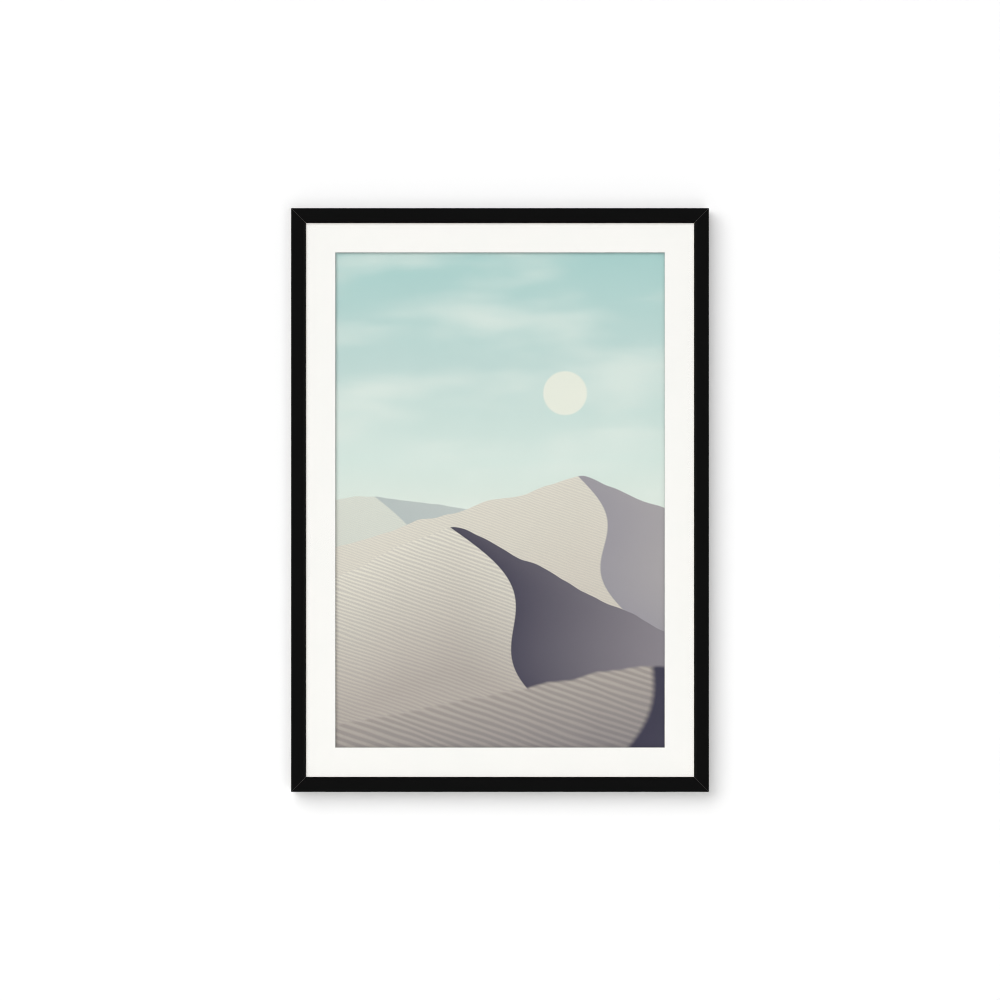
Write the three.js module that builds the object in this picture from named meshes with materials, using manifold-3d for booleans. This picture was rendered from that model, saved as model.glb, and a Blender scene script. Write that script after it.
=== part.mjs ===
// A framed print that hangs on a wall: four mitred black rails hold clear glazing, a thick mat with a
// reverse-bevel window, a paper print and a backing board, which bendable steel tabs keep in from behind.
//
// Millimetres. +X is to the right as seen from the front, +Y points into the wall, +Z is up.
// The origin is on the wall, where a hook meets the middle notch of the sawtooth hanger.

import * as THREE from "three";
import { mergeVertices } from "three/addons/utils/BufferGeometryUtils.js";
import Module from "manifold-3d";

const wasm = await Module();
wasm.setup();

// Seen from the front: the window shows the print, and mat and rails run round it
const WINDOW_WIDTH = 394;
const WINDOW_HEIGHT = 592.5;
const MAT_MARGIN = 35.2; // mat that shows on each side
const RAIL_WIDTH = 17.8;

// Rail section
const RAIL_DEPTH = 22;
const LIP_DEPTH = 2.5; // the thin front lip that the glazing lies against
const SIGHT_EDGE = 0.8; // what a chamfer leaves of the lip at its inner edge
const SIGHT_CHAMFER = 3; // how wide that chamfer is on the rail's face
const RABBET_WIDTH = 6; // how far the lip reaches over the stack

// The stack behind the lip
const GLAZING_THICKNESS = 1;
const MAT_THICKNESS = 3.2;
const PRINT_THICKNESS = 0.3;
const BOARD_THICKNESS = 3;
const PRINT_WIDTH = 424; // a 400 by 600 picture with a border for hinging
const PRINT_HEIGHT = 624;
const STACK_PLAY = 1; // between the stack's edge and the rabbet wall

// Distance from the wall to the backs of the rails, and the gap between neighbouring pieces
const STANDOFF = 3.5;
const GAP = 0.2;

// Retaining tabs, driven into the rabbet wall
const TAB_WIDTH = 7;
const TAB_THICKNESS = 0.6;
const TAB_REACH = 12; // from the rabbet wall over the board
const TAB_ROOT = 6; // hidden in the rail
const SHORT_SIDE_TABS = [-120, 120];
const LONG_SIDE_TABS = [-220, 0, 220];

// V-shaped corner nails, pressed in across each mitre from behind
const NAIL_INSET = 6; // from both outer edges to the middle of the nail
const NAIL_HALF_SPAN = 3.6; // across the mitre
const NAIL_RISE = 3.6; // along the mitre, from the leg ends to the apex
const NAIL_HALF_THICKNESS = 0.4; // measured along the mitre
const NAIL_LENGTH = 10;

// Sawtooth hanger
const HANGER_LENGTH = 62;
const HANGER_END = 13; // flat on the rail at each end
const HANGER_RAMP = 3;
const HANGER_RAISE = 1.9; // room for a nail head behind the raised middle
const HANGER_THICKNESS = 1;
const HANGER_ABOVE_NOTCH = 8;
const HANGER_TOP_INSET = 2.6; // from the frame's top edge
const TOOTH_PITCH = 3;
const TOOTH_DEPTH = 2;
const TOOTH_COUNT = 10; // even, so that a notch is in the middle

// Hanger screws
const SCREW_HEAD_RADIUS = 2.7;
const SCREW_HEAD_HEIGHT = 1.4;
const SCREW_RIM = 0.6; // straight part of the head's side, below its dome
const SCREW_DOME_STEPS = 4;
const SCREW_SHANK_RADIUS = 1.2;
const SCREW_LENGTH = 11;
const SCREW_POINT = 2;
const SCREW_SEGMENTS = 20;
const SCREW_X = 25;
const SCREW_Z = 3.2;
const RECESS_LENGTH = 3;
const RECESS_WIDTH = 0.7;
const RECESS_DEPTH = 0.9;

// Wall bumpers on the bottom rail
const BUMPER_RADIUS = 5;
const BUMPER_CHAMFER = 0.5;
const BUMPER_SEGMENTS = 28;
const BUMPER_FROM_END = 32;

// Sizes and places that follow from those above
const SIGHT_WIDTH = WINDOW_WIDTH + 2 * MAT_MARGIN;
const SIGHT_HEIGHT = WINDOW_HEIGHT + 2 * MAT_MARGIN;
const FRAME_WIDTH = SIGHT_WIDTH + 2 * RAIL_WIDTH;
const FRAME_HEIGHT = SIGHT_HEIGHT + 2 * RAIL_WIDTH;
const BACK_WIDTH = RAIL_WIDTH - RABBET_WIDTH;
const STACK_WIDTH = SIGHT_WIDTH + 2 * (RABBET_WIDTH - STACK_PLAY);
const STACK_HEIGHT = SIGHT_HEIGHT + 2 * (RABBET_WIDTH - STACK_PLAY);

const RAIL_BACK = -STANDOFF;
const RAIL_FRONT = RAIL_BACK - RAIL_DEPTH;
const LIP_BACK = RAIL_FRONT + LIP_DEPTH;
const GLAZING_BACK = LIP_BACK + GAP + GLAZING_THICKNESS;
const MAT_BACK = GLAZING_BACK + GAP + MAT_THICKNESS;
const PRINT_BACK = MAT_BACK + GAP + PRINT_THICKNESS;
const BOARD_BACK = PRINT_BACK + GAP + BOARD_THICKNESS;
const TAB_BACK = BOARD_BACK + GAP + TAB_THICKNESS;
const HANGER_SEAT = RAIL_BACK + GAP; // front of the hanger's flat ends
const FRAME_TOP = HANGER_ABOVE_NOTCH + HANGER_TOP_INSET;
const FRAME_CENTRE_Z = FRAME_TOP - FRAME_HEIGHT / 2;

// Materials
const lacqueredWood = new THREE.MeshStandardMaterial({ color: 0x111111, roughness: 0.5 });
const clearAcrylic = new THREE.MeshStandardMaterial({
  color: 0xffffff,
  roughness: 0.05,
  transparent: true,
  opacity: 0.12,
});
const matBoard = new THREE.MeshStandardMaterial({ color: 0xfaf9f5, roughness: 0.9 });
const printPaper = new THREE.MeshStandardMaterial({ color: 0xbfd4cf, roughness: 0.6 });
const hardboard = new THREE.MeshStandardMaterial({ color: 0x8a6446, roughness: 0.8 });
const zincSteel = new THREE.MeshStandardMaterial({ color: 0xb9bcbf, roughness: 0.35, metalness: 1 });
const darkFelt = new THREE.MeshStandardMaterial({ color: 0x2b2b2d, roughness: 0.95 });

// A closed geometry as a solid that can be cut
function solidOf(geometry) {
  const bare = geometry.clone();
  bare.deleteAttribute("normal");
  bare.deleteAttribute("uv");
  const merged = mergeVertices(bare);
  const mesh = new wasm.Mesh({
    numProp: 3,
    vertProperties: merged.attributes.position.array,
    triVerts: new Uint32Array(merged.index.array),
  });
  return new wasm.Manifold(mesh);
}

function cut(geometry, cutters) {
  let solid = solidOf(geometry);
  for (const cutter of cutters) {
    solid = solid.subtract(solidOf(cutter));
  }
  const mesh = solid.getMesh();
  const result = new THREE.BufferGeometry();
  result.setAttribute("position", new THREE.BufferAttribute(mesh.vertProperties, 3));
  result.setIndex(new THREE.BufferAttribute(mesh.triVerts, 1));
  result.computeVertexNormals();
  return result;
}

function named(name, geometry, material) {
  const mesh = new THREE.Mesh(geometry, material);
  mesh.name = name;
  return mesh;
}

function outline(points) {
  return new THREE.Shape(points.map(([across, up]) => new THREE.Vector2(across, up)));
}

// A flat sheet: an outline in X and Z, with its rear face at the given Y
function plate(shape, thickness, back) {
  const geometry = new THREE.ExtrudeGeometry(shape, { depth: thickness, bevelEnabled: false });
  geometry.rotateX(Math.PI / 2);
  geometry.translate(0, back, 0);
  return geometry;
}

function sheet(width, height, thickness, back) {
  const geometry = new THREE.BoxGeometry(width, thickness, height);
  geometry.translate(0, back - thickness / 2, 0);
  return geometry;
}

// A round piece about the Y axis, from a profile of radius and place along Y
function turned(profile, segments) {
  const points = profile.map(([radius, along]) => new THREE.Vector2(radius, along));
  return new THREE.LatheGeometry(points, segments);
}

// Each side of the frame is made as a top rail is, with its outer edge `reach` above the frame's centre
function railBlank(length, reach) {
  const section = outline([
    [RAIL_FRONT, reach - RAIL_WIDTH + SIGHT_CHAMFER],
    [LIP_BACK - SIGHT_EDGE, reach - RAIL_WIDTH],
    [LIP_BACK, reach - RAIL_WIDTH],
    [LIP_BACK, reach - BACK_WIDTH],
    [RAIL_BACK, reach - BACK_WIDTH],
    [RAIL_BACK, reach],
    [RAIL_FRONT, reach],
  ]);
  const geometry = new THREE.ExtrudeGeometry(section, { depth: length, bevelEnabled: false });
  const alongX = new THREE.Matrix4().makeBasis(
    new THREE.Vector3(0, 1, 0),
    new THREE.Vector3(0, 0, 1),
    new THREE.Vector3(1, 0, 0),
  );
  geometry.applyMatrix4(alongX);
  geometry.translate(-length / 2, 0, 0);
  mitreEnds(geometry, reach);
  return geometry;
}

// Slants both ends to 45 degrees by drawing each end point in as far as it lies below the outer edge
function mitreEnds(geometry, reach) {
  const position = geometry.attributes.position;
  const halfGap = (GAP / 2) * Math.SQRT2;
  for (let index = 0; index < position.count; index += 1) {
    const x = position.getX(index);
    const drawnIn = reach - position.getZ(index) + halfGap;
    position.setX(index, x - Math.sign(x) * drawnIn);
  }
}

// The V of a corner nail, with its apex towards the frame's centre along -Z before it is turned
function cornerNailShape(halfThickness, extra) {
  const span = NAIL_HALF_SPAN + extra;
  const rise = (NAIL_RISE * span) / NAIL_HALF_SPAN;
  const apex = -NAIL_RISE / 2;
  return outline([
    [-span, apex + rise - halfThickness],
    [0, apex - halfThickness],
    [span, apex + rise - halfThickness],
    [span, apex + rise + halfThickness],
    [0, apex + halfThickness],
    [-span, apex + rise + halfThickness],
  ]);
}

// Turned to the mitre and placed at one end of a side: end is 1 at its right, -1 at its left
function atCorner(geometry, length, reach, end) {
  geometry.rotateY((end * Math.PI) / 4);
  geometry.translate(end * (length / 2 - NAIL_INSET), 0, reach - NAIL_INSET);
  return geometry;
}

function cornerNail(length, reach) {
  const geometry = plate(cornerNailShape(NAIL_HALF_THICKNESS, 0), NAIL_LENGTH, RAIL_BACK);
  return atCorner(geometry, length, reach, 1);
}

function cornerNailSlot(length, reach, end) {
  const depth = NAIL_LENGTH + 2 * GAP; // open at the rail's back
  const shape = cornerNailShape(NAIL_HALF_THICKNESS + GAP * Math.SQRT2, GAP);
  return atCorner(plate(shape, depth, RAIL_BACK + GAP), length, reach, end);
}

// A tab has a pointed root in the rail and a round tip over the board
function tab(along, reach) {
  const wall = reach - BACK_WIDTH;
  const half = TAB_WIDTH / 2;
  const shape = new THREE.Shape();
  shape.moveTo(along, wall + TAB_ROOT);
  shape.lineTo(along - half, wall + TAB_ROOT / 2);
  shape.lineTo(along - half, wall - TAB_REACH + half);
  shape.absarc(along, wall - TAB_REACH + half, half, Math.PI, 2 * Math.PI, false);
  shape.lineTo(along + half, wall + TAB_ROOT / 2);
  return plate(shape, TAB_THICKNESS, TAB_BACK);
}

function tabSlot(along, reach) {
  const depth = TAB_ROOT + 2 * GAP; // open at the rabbet wall
  const geometry = new THREE.BoxGeometry(TAB_WIDTH + 2 * GAP, TAB_THICKNESS + 2 * GAP, depth);
  geometry.translate(along, TAB_BACK - TAB_THICKNESS / 2, reach - BACK_WIDTH + depth / 2 - GAP);
  return geometry;
}

// One rail with its slots, its tabs and the nail at its right-hand corner, turned to its side of the frame
function side({ name, corner, turn, length, reach, tabs, holes }) {
  const cutters = [
    cornerNailSlot(length, reach, -1),
    cornerNailSlot(length, reach, 1),
    ...tabs.map((along) => tabSlot(along, reach)),
    ...holes,
  ];
  const group = new THREE.Group();
  group.add(named(`rail_${name}`, cut(railBlank(length, reach), cutters), lacqueredWood));
  group.add(named(`corner_nail_${corner}`, cornerNail(length, reach), zincSteel));
  tabs.forEach((along, index) => {
    group.add(named(`tab_${name}_${index + 1}`, tab(along, reach), zincSteel));
  });
  group.rotation.y = THREE.MathUtils.degToRad(turn);
  return group;
}

// A mat whose window widens at 45 degrees towards the back, so that its front edge overhangs the print
function mat() {
  const window = sheet(WINDOW_WIDTH, WINDOW_HEIGHT, MAT_THICKNESS + 2 * GAP, MAT_BACK + GAP);
  const position = window.attributes.position;
  const middle = MAT_BACK - MAT_THICKNESS / 2;
  for (let index = 0; index < position.count; index += 1) {
    const isBack = position.getY(index) > middle;
    const widening = isBack ? MAT_THICKNESS + GAP : -GAP;
    position.setX(index, position.getX(index) + Math.sign(position.getX(index)) * widening);
    position.setZ(index, position.getZ(index) + Math.sign(position.getZ(index)) * widening);
  }
  return cut(sheet(STACK_WIDTH, STACK_HEIGHT, MAT_THICKNESS, MAT_BACK), [window]);
}

// A strip stepped away from the rail in its middle, with teeth along the middle's lower edge
function hanger() {
  const half = HANGER_LENGTH / 2;
  const rampFoot = half - HANGER_END;
  const rampHead = rampFoot - HANGER_RAMP;
  const front = [
    [-half, 0],
    [-rampFoot, 0],
    [-rampHead, HANGER_RAISE],
    [rampHead, HANGER_RAISE],
    [rampFoot, 0],
    [half, 0],
  ];
  const rear = front.map(([x, y]) => [x, y + HANGER_THICKNESS]).reverse();
  const height = HANGER_ABOVE_NOTCH + TOOTH_DEPTH;
  const options = { depth: height, bevelEnabled: false };
  const strip = new THREE.ExtrudeGeometry(outline([...front, ...rear]), options);
  strip.translate(0, HANGER_SEAT, -TOOTH_DEPTH);
  const cutters = [toothCutter(), endTrim(-1), endTrim(1), screwHole(-SCREW_X), screwHole(SCREW_X)];
  return cut(strip, cutters);
}

// Everything below the zigzag lower edge of the hanger's raised middle
function toothCutter() {
  const start = (-TOOTH_COUNT * TOOTH_PITCH) / 2;
  const points = [[start, -2 * TOOTH_DEPTH]];
  for (let tooth = 0; tooth < TOOTH_COUNT; tooth += 1) {
    const left = start + tooth * TOOTH_PITCH;
    points.push([left, 0], [left + TOOTH_PITCH / 2, -TOOTH_DEPTH]);
  }
  points.push([-start, 0], [-start, -2 * TOOTH_DEPTH]);
  return plate(outline(points.reverse()), STANDOFF + HANGER_THICKNESS, HANGER_THICKNESS);
}

// Trims the flat ends level with the notches, so that only the raised middle hangs lower
function endTrim(end) {
  const rampFoot = HANGER_LENGTH / 2 - HANGER_END;
  const trim = new THREE.BoxGeometry(HANGER_LENGTH, 4 * STANDOFF, 2 * TOOTH_DEPTH);
  trim.translate(end * (rampFoot + HANGER_LENGTH / 2), 0, -TOOTH_DEPTH);
  return trim;
}

function screwHole(x) {
  const hole = new THREE.CylinderGeometry(
    SCREW_SHANK_RADIUS + GAP,
    SCREW_SHANK_RADIUS + GAP,
    2 * (SCREW_LENGTH + 2 * GAP),
    SCREW_SEGMENTS,
  );
  hole.translate(x, HANGER_SEAT + HANGER_THICKNESS + GAP, SCREW_Z);
  return hole;
}

// A pan-head screw along Y, with its point towards the front and a cross recess in its head
function screw() {
  const seat = HANGER_SEAT + HANGER_THICKNESS + GAP;
  const profile = [
    [0, -SCREW_LENGTH],
    [SCREW_SHANK_RADIUS, SCREW_POINT - SCREW_LENGTH],
    [SCREW_SHANK_RADIUS, 0],
    [SCREW_HEAD_RADIUS, 0],
  ];
  const dome = SCREW_HEAD_HEIGHT - SCREW_RIM;
  for (let step = 0; step < SCREW_DOME_STEPS; step += 1) {
    const angle = ((step / SCREW_DOME_STEPS) * Math.PI) / 2;
    profile.push([SCREW_HEAD_RADIUS * Math.cos(angle), SCREW_RIM + dome * Math.sin(angle)]);
  }
  profile.push([0, SCREW_HEAD_HEIGHT]);
  // Half of each recess cutter stands out of the head
  const recesses = [
    new THREE.BoxGeometry(RECESS_LENGTH, 2 * RECESS_DEPTH, RECESS_WIDTH),
    new THREE.BoxGeometry(RECESS_WIDTH, 2 * RECESS_DEPTH, RECESS_LENGTH),
  ];
  recesses.forEach((recess) => recess.translate(0, SCREW_HEAD_HEIGHT, 0));
  const geometry = cut(turned(profile, SCREW_SEGMENTS), recesses);
  geometry.translate(0, seat, 0);
  return geometry;
}

function bumper() {
  const thickness = STANDOFF - GAP;
  const profile = [
    [0, -thickness],
    [BUMPER_RADIUS, -thickness],
    [BUMPER_RADIUS, -BUMPER_CHAMFER],
    [BUMPER_RADIUS - BUMPER_CHAMFER, 0],
    [0, 0],
  ];
  return turned(profile, BUMPER_SEGMENTS);
}

// The frame and its stack are built round the frame's centre
function frameAndStack() {
  const group = new THREE.Group();
  const short = { length: FRAME_WIDTH, reach: FRAME_HEIGHT / 2, tabs: SHORT_SIDE_TABS, holes: [] };
  const long = { length: FRAME_HEIGHT, reach: FRAME_WIDTH / 2, tabs: LONG_SIDE_TABS, holes: [] };
  const screwHoles = [-SCREW_X, SCREW_X].map((x) => screwHole(x).translate(0, 0, -FRAME_CENTRE_Z));
  group.add(side({ ...short, name: "top", corner: "top_right", turn: 0, holes: screwHoles }));
  group.add(side({ ...long, name: "right", corner: "bottom_right", turn: 90 }));
  group.add(side({ ...short, name: "bottom", corner: "bottom_left", turn: 180 }));
  group.add(side({ ...long, name: "left", corner: "top_left", turn: 270 }));
  const pane = sheet(STACK_WIDTH, STACK_HEIGHT, GLAZING_THICKNESS, GLAZING_BACK);
  const board = sheet(STACK_WIDTH, STACK_HEIGHT, BOARD_THICKNESS, BOARD_BACK);
  const paper = sheet(PRINT_WIDTH, PRINT_HEIGHT, PRINT_THICKNESS, PRINT_BACK);
  group.add(named("glazing", pane, clearAcrylic));
  group.add(named("mat", mat(), matBoard));
  group.add(named("print", paper, printPaper));
  group.add(named("backing_board", board, hardboard));
  group.position.z = FRAME_CENTRE_Z;
  return group;
}

function hangingHardware() {
  const group = new THREE.Group();
  group.add(named("hanger", hanger(), zincSteel));
  const bumperX = FRAME_WIDTH / 2 - BUMPER_FROM_END;
  const bumperZ = FRAME_TOP - FRAME_HEIGHT + BACK_WIDTH / 2;
  const hands = [
    ["left", -1],
    ["right", 1],
  ];
  for (const [hand, sign] of hands) {
    const screwMesh = named(`hanger_screw_${hand}`, screw(), zincSteel);
    screwMesh.position.set(sign * SCREW_X, 0, SCREW_Z);
    const bumperMesh = named(`bumper_${hand}`, bumper(), darkFelt);
    bumperMesh.position.set(sign * bumperX, 0, bumperZ);
    group.add(screwMesh, bumperMesh);
  }
  return group;
}

const framedPrint = new THREE.Group();
framedPrint.add(frameAndStack(), hangingHardware());

export default framedPrint;
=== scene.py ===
"""The looks of a wall-hung framed print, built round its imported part.

Pieces are modelled in millimetres about the frame's centre on the wall plane: X to the right as seen
from the front, Y into the wall, Z up. They are then brought into the shared frame, in metres.
"""

import math

import bmesh
import bpy
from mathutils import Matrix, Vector


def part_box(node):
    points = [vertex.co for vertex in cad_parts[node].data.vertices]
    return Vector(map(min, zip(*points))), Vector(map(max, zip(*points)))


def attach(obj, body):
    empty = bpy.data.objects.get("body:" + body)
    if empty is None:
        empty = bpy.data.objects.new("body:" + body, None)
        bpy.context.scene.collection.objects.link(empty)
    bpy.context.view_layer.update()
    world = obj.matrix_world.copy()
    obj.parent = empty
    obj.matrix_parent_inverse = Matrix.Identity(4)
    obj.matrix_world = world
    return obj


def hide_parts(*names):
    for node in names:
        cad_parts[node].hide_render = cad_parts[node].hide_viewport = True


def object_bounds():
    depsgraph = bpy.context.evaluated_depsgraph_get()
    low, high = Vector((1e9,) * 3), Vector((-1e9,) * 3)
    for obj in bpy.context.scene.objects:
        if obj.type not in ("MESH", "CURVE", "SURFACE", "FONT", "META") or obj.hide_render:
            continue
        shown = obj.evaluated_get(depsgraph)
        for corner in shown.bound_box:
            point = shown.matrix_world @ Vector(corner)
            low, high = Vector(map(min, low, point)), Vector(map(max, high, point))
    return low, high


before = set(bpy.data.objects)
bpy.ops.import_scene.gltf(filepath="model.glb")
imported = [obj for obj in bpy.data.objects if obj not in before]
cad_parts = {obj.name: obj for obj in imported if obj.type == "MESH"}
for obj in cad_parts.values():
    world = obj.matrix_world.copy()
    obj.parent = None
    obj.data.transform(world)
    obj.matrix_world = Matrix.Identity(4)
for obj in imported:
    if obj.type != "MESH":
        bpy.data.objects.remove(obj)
cad_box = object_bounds()

MM = 0.001
CENTRE = Vector((0, 0, (cad_box[0].z + cad_box[1].z) / 2)) / MM
HALF_WIDTH = cad_box[1].x / MM
HALF_HEIGHT = (cad_box[1].z - cad_box[0].z) / 2 / MM

# Rail section
RAIL_WIDTH = 17.8
LIP_DEPTH = 2.5
SIGHT_EDGE = 0.8  # what a chamfer leaves of the lip at its inner edge
SIGHT_CHAMFER = 3
RABBET_WIDTH = 6
BACK_WIDTH = RAIL_WIDTH - RABBET_WIDTH
ARRIS = 0.8  # radius that sanding and lacquer leave on the outer edges
SIGHT_EASE = 0.25  # and on the edges of the chamfer
MITRE_EASE = 0.3  # eased edge on each side of a mitre
MITRE_GAP = 0.05

# Mat, picture and board
WINDOW_WIDTH = 394
PICTURE_WIDTH = 400
PICTURE_HEIGHT = 600
MAT_EASE = 0.12
# Width of the near-black strip on the mat's front round the window: painted shade for the shadow line at its
# edge
PAINTED_SHADE_LINE = 0.16
PAPER_BOW = 0.5  # how far the middle of the sheet stands forward
PAPER_CELLS = (52, 78)
BOARD_CORNER = 2
BOARD_EASE = 0.35

# Retaining tabs
TAB_WIDTH = 7
TAB_REACH = 12
TAB_ROOT = 6
TAB_LIFT = 0.7  # the tip stands up for a fingernail
SLOT_ROOM = 0.2

# Corner nails
NAIL_INSET = 6
NAIL_HALF_SPAN = 3.6
NAIL_RISE = 3.6
NAIL_HALF_THICKNESS = 0.4
NAIL_LENGTH = 9.6
NAIL_SUNK = 0.3

# Sawtooth hanger and its screws
HANGER_END = 13
HANGER_RAMP = 3
HANGER_RAISE = 1.9
HANGER_THICKNESS = 1
HANGER_CORNER = 2.4
TOOTH_PITCH = 3
TOOTH_DEPTH = 2
TOOTH_COUNT = 10
SCREW_HOLE_RADIUS = 1.4
SCREW_HEAD_RADIUS = 2.7
SCREW_HEAD_HEIGHT = 1.4
SCREW_DOME = 0.8
SCREW_SHANK_RADIUS = 1.2
SCREW_LENGTH = 11
SCREW_POINT = 2
RECESS_LENGTH = 3
RECESS_WIDTH = 0.7
RECESS_DEPTH = 0.8

# Each side is modelled as the top one and turned about Y; a nail goes with the corner at its right end
TURNS = {"top": 0, "right": 90, "bottom": 180, "left": 270}
CORNERS = {"top": "top_right", "right": "bottom_right", "bottom": "bottom_left", "left": "top_left"}
TAB_PLACES = {"top": (-120, 120), "right": (-220, 0, 220), "bottom": (-120, 120), "left": (-220, 0, 220)}

# The camera stands square to the frame and far off, with a picture this wide at the frame's front
LENS = 120
SENSOR = 36
VIEW_WIDTH = 1196.17


def room(node):
    """A CAD node's lowest and highest corner, in millimetres about the frame's centre."""
    return [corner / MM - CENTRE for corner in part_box(node)]


RAIL_FRONT = cad_box[0].y / MM
RAIL_BACK = room("rail_top")[1].y
LIP_BACK = RAIL_FRONT + LIP_DEPTH


# Materials


def linear(code):
    """An sRGB hex value as a linear colour."""
    parts = [int(code[index : index + 2], 16) / 255 for index in (1, 3, 5)]
    return [part / 12.92 if part <= 0.04045 else ((part + 0.055) / 1.055) ** 2.4 for part in parts] + [1]


def add(tree, kind, inputs=(), out=0, stops=(), **settings):
    """Adds a node with its settings and links, and returns one of its outputs."""
    node = tree.nodes.new("ShaderNode" + kind)
    for name, value in settings.items():
        setattr(node, name, value)
    for index, (place, code) in enumerate(stops):
        ramp = node.color_ramp.elements
        stop = ramp[index] if index < 2 else ramp.new(place)
        stop.position = place
        stop.color = linear(code)
    pairs = inputs.items() if isinstance(inputs, dict) else enumerate(inputs)
    for name, value in pairs:
        if isinstance(value, bpy.types.NodeSocket):
            tree.links.new(value, node.inputs[name])
        else:
            node.inputs[name].default_value = value
    return node.outputs[out] if node.outputs else None


def new_material(name):
    """An empty material, its node tree, and the place on the piece in millimetres."""
    made = bpy.data.materials.new(name)
    made.use_nodes = True
    tree = made.node_tree
    tree.nodes.clear()
    metres = add(tree, "TexCoord", out="Object")
    place = add(tree, "VectorMath", {0: metres, "Scale": 1 / MM}, operation="SCALE")
    return made, tree, place


def fibre_size(grain, length, width):
    """What turns millimetres into fibre lengths along the grain and fibre widths across it."""
    return [1 / length if axis == grain else 1 / width for axis in "XYZ"]


def satin_black_lacquer(grain):
    """Black lacquer sprayed on close-grained wood and left satin.

    It hides the wood's colour, so the eye gets an even near black whose sheen wavers along the grain.
    """
    made, tree, place = new_material(f"satin_black_lacquer_{grain}")
    along = add(tree, "VectorMath", (place, fibre_size(grain, 70, 1.6)), operation="MULTIPLY")
    fibre = add(tree, "TexNoise", {"Vector": along, "Scale": 1, "Detail": 3})
    colour = add(tree, "Mix", {0: fibre, 6: linear("#060606"), 7: linear("#0B0B0B")}, 2, data_type="RGBA")
    sheen = add(tree, "MapRange", (fibre, 0.3, 0.7, 0.38, 0.5))
    grain_relief = add(tree, "Bump", {"Height": fibre, "Strength": 0.2, "Distance": 0.03 * MM})
    look = {"Base Color": colour, "Roughness": sheen, "Normal": grain_relief, "Specular IOR Level": 0.25}
    add(tree, "OutputMaterial", [add(tree, "BsdfPrincipled", look)])
    return made


def greyer_mitre_lacquer():
    """The same lacquer on the eased edges of a mitre, given a greyer colour and a rougher finish, so that
    each mitre shows as a lighter line.
    """
    made, tree, place = new_material("mitre_grey_black_lacquer")
    mitre_mottle = add(tree, "TexNoise", {"Vector": place, "Scale": 1 / 3, "Detail": 4})
    colour = add(tree, "Mix", {0: mitre_mottle, 6: linear("#272726"), 7: linear("#42413F")}, 2, data_type="RGBA")
    rough = add(tree, "MapRange", (mitre_mottle, 0.3, 0.7, 0.45, 0.65))
    look = {"Base Color": colour, "Roughness": rough, "Specular IOR Level": 0.3}
    add(tree, "OutputMaterial", [add(tree, "BsdfPrincipled", look)])
    return made


def raw_obeche(grain):
    """Planed obeche, left bare on the back and in the rabbet.

    Pale straw with long fine fibres and short pores, and black overspray that strayed in from the outer edge.
    """
    made, tree, place = new_material(f"raw_obeche_{grain}")
    along = add(tree, "VectorMath", (place, fibre_size(grain, 55, 0.9)), operation="MULTIPLY")
    fibre = add(tree, "TexNoise", {"Vector": along, "Scale": 1, "Detail": 4})
    broad = add(tree, "VectorMath", (place, fibre_size(grain, 240, 7)), operation="MULTIPLY")
    band = add(tree, "TexNoise", {"Vector": broad, "Scale": 1, "Detail": 2})
    tone = add(tree, "Math", (fibre, 0.6, band), operation="MULTIPLY_ADD")
    straw = ((0.5, "#B0906B"), (0.75, "#CCAF88"), (1, "#DFC8A4"))
    wood = add(tree, "ValToRGB", [tone], stops=straw)

    # Overspray fades out a few millimetres in from the outer edge
    centred = add(tree, "VectorMath", (place, CENTRE), operation="SUBTRACT")
    sizes = add(tree, "VectorMath", [centred], operation="ABSOLUTE")
    from_edge = add(tree, "VectorMath", ((HALF_WIDTH, 0, HALF_HEIGHT), sizes), operation="SUBTRACT")
    parts = add(tree, "SeparateXYZ", [from_edge]).node
    edge = add(tree, "Math", (parts.outputs["X"], parts.outputs["Z"]), operation="MINIMUM")
    speckle = add(tree, "TexNoise", {"Vector": place, "Scale": 1 / 1.3, "Detail": 4, "Roughness": 0.6})
    drift = add(tree, "Math", (speckle, 4, edge), operation="MULTIPLY_ADD")
    spray = add(tree, "MapRange", (drift, 2, 5.5, 0.92, 0), interpolation_type="SMOOTHSTEP")
    colour = add(tree, "Mix", {0: spray, 6: wood, 7: linear("#151515")}, 2, data_type="RGBA")
    relief = add(tree, "Bump", {"Height": fibre, "Strength": 0.5, "Distance": 0.08 * MM})
    look = {"Base Color": colour, "Roughness": 0.72, "Normal": relief, "Specular IOR Level": 0.3}
    add(tree, "OutputMaterial", [add(tree, "BsdfPrincipled", look)])
    return made


def cast_acrylic():
    """A clear cast acrylic pane: colourless, smooth, with a trace of film where it was wiped.

    Lamps and light from the mat pass it straight, as they do through a thin flat pane.
    """
    made, tree, place = new_material("cast_acrylic")
    wiped = add(tree, "TexNoise", {"Vector": place, "Scale": 1 / 60, "Detail": 3})
    film = add(tree, "ValToRGB", [wiped], stops=((0.4, "#FFFFFF"), (0.8, "#FDFEFE")))
    look = {"Base Color": film, "Roughness": 0, "IOR": 1.49, "Transmission Weight": 1}
    pane = add(tree, "BsdfPrincipled", look)
    straight = add(tree, "BsdfTransparent", [linear("#FAFAFA")])
    path = add(tree, "LightPath").node
    lamps = (path.outputs["Is Shadow Ray"], path.outputs["Is Diffuse Ray"])
    passing = add(tree, "Math", lamps, operation="MAXIMUM")
    add(tree, "OutputMaterial", [add(tree, "MixShader", (passing, pane, straight))])
    return made


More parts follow.
